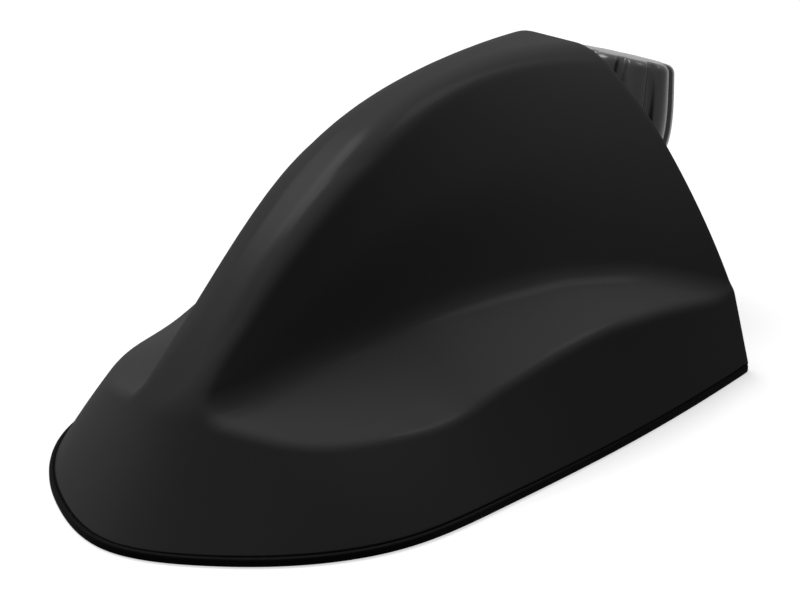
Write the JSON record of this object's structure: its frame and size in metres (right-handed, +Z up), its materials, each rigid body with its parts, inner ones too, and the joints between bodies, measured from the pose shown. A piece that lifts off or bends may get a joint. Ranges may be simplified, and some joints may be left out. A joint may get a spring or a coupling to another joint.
{
  "type": "roof aerial",
  "caption": "Vehicle roof aerial: scooped shark fin cover on a gasketed base plate, hollow threaded mounting stud with washer and nut, and a raked screw-on fluted cap behind the fin.",
  "frame": {"origin": "on the roof surface (the gasket's underside), on the axis of the hollow mounting stud", "axes": "-X to the nose, +X to the fluted cap at the tail, +Z up from the roof, XZ is the fin's middle plane"},
  "size_m": [0.1633, 0.091, 0.0892],
  "materials": {
    "cover_plastic": "satin moulded",
    "cap_plastic": "satin moulded",
    "gasket_rubber": "matte",
    "seal_rubber": "matte",
    "cast_metal": "as cast",
    "stud_metal": "nickel plated",
    "fixing_steel": "zinc plated",
    "board_laminate": "coated laminate",
    "patch_ceramic": "silvered ceramic",
    "can_metal": "tinned",
    "element_copper": "bare",
    "socket_brass": "plated",
    "vent_membrane": "matte"
  },
  "bodies": {
    "housing": {"cover": "cover_plastic", "base_plate": "cast_metal", "base_gasket": "gasket_rubber", "cover_seal": "seal_rubber", "mounting_stud": "stud_metal", "stud_seal": "seal_rubber", "toothed_washer": "fixing_steel", "mounting_nut": "fixing_steel", "main_board": "board_laminate", "lna_board": "board_laminate", "gnss_patch": "patch_ceramic", "shield_can": "can_metal", "fin_board": "board_laminate", "fin_element": "element_copper", "wifi_element_left": "element_copper", "wifi_element_right": "element_copper", "coax_sockets": "socket_brass", "board_screws": "fixing_steel", "cover_screws": "fixing_steel", "whip_stud": "stud_metal", "whip_contact": "element_copper", "vent_disc": "vent_membrane"},
    "cap_lift": {"cap_seal": "seal_rubber"},
    "cap": {"whip_cap": "cap_plastic", "cap_insert": "socket_brass"}
  },
  "joints": [
    {"name": "cap_lift", "type": "slide", "parent": "housing", "child": "cap_lift", "axis": [0.342, 0, 0.9397], "range_m": [0, 0.0033]},
    {"name": "cap_turn", "type": "hinge", "parent": "cap_lift", "child": "cap", "pos_m": [0.0783, 0, 0.034], "axis": [0.342, 0, 0.9397], "range_deg": [0, 1440]}
  ],
  "couplings": [
    {"joint": "cap_lift", "follows": "cap_turn", "m_per_rad": 0.00012732}
  ]
}
